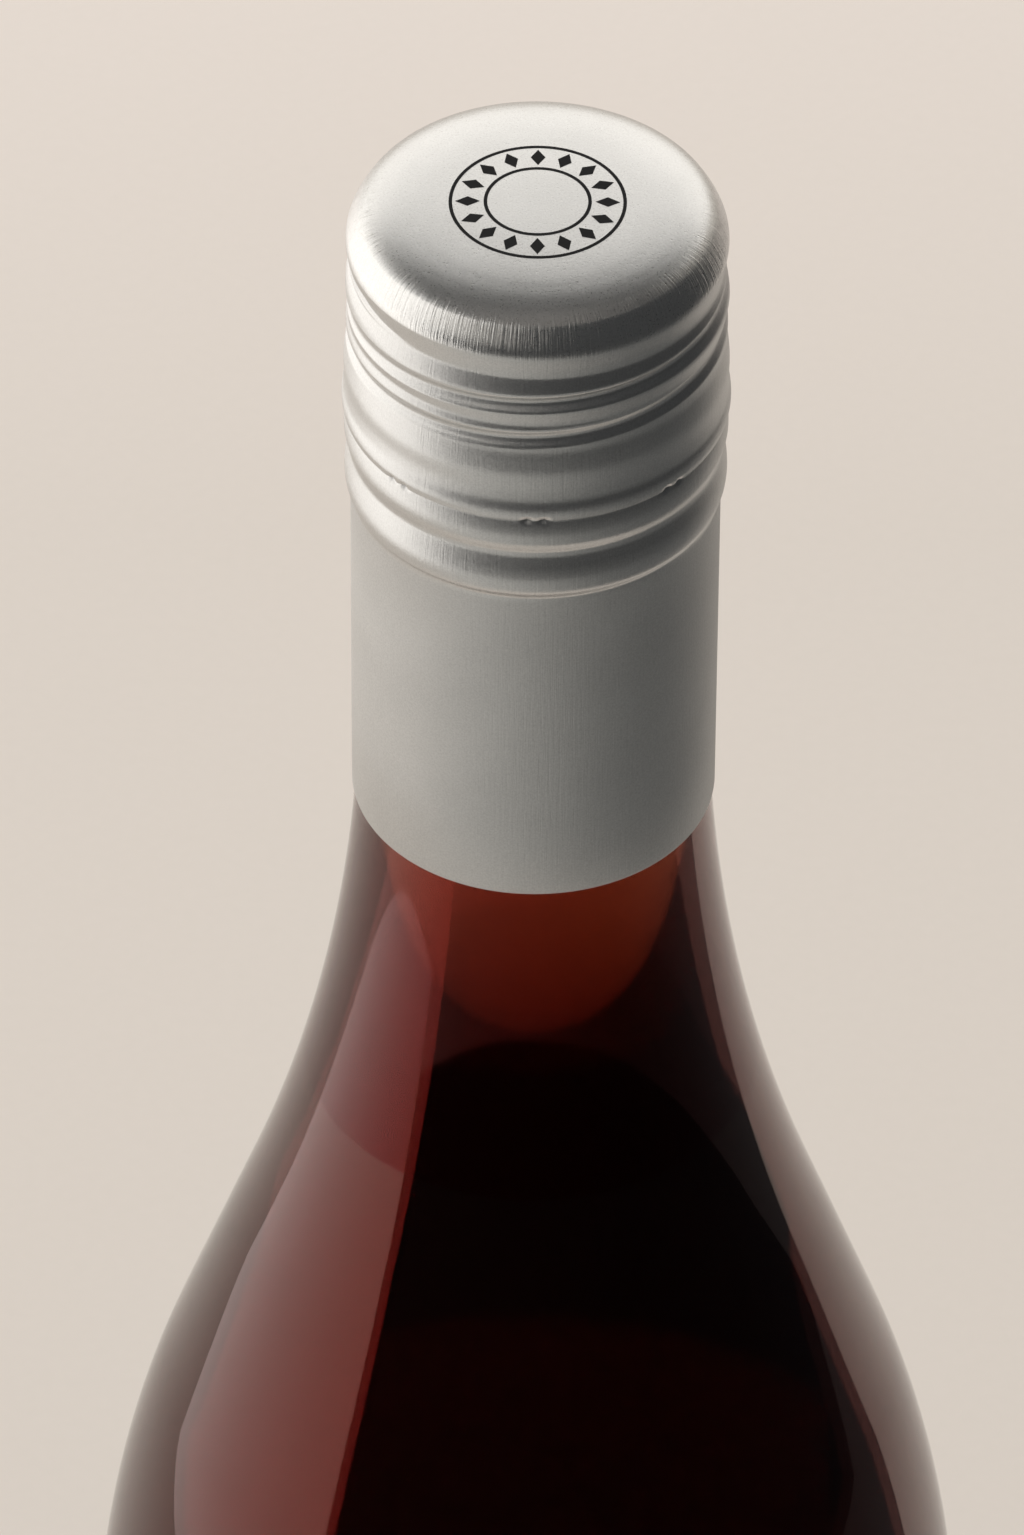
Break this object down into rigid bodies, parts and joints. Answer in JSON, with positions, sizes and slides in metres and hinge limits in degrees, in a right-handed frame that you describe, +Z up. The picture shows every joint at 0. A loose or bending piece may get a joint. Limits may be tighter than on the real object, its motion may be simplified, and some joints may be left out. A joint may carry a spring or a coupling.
{
  "type": "screw-capped wine bottle",
  "caption": "Round clear-glass bottle with sloping shoulders, filled with red wine and shut with a long silver screw cap.",
  "frame": {"origin": "centre of the standing ring under the bottle's foot", "axes": "+Z up along the bottle's axis, towards the cap; -Y is the front, and +X is on the viewer's right"},
  "size_m": [0.075, 0.075, 0.3162],
  "materials": {
    "clear_glass": "smooth, colourless",
    "red_wine": "deep red liquid",
    "satin_aluminium": "satin, clear-lacquered sheet",
    "black_print": "printed ink"
  },
  "bodies": {
    "root": {"bottle": "clear_glass", "wine": "red_wine", "cap": "satin_aluminium"}
  },
  "joints": []
}
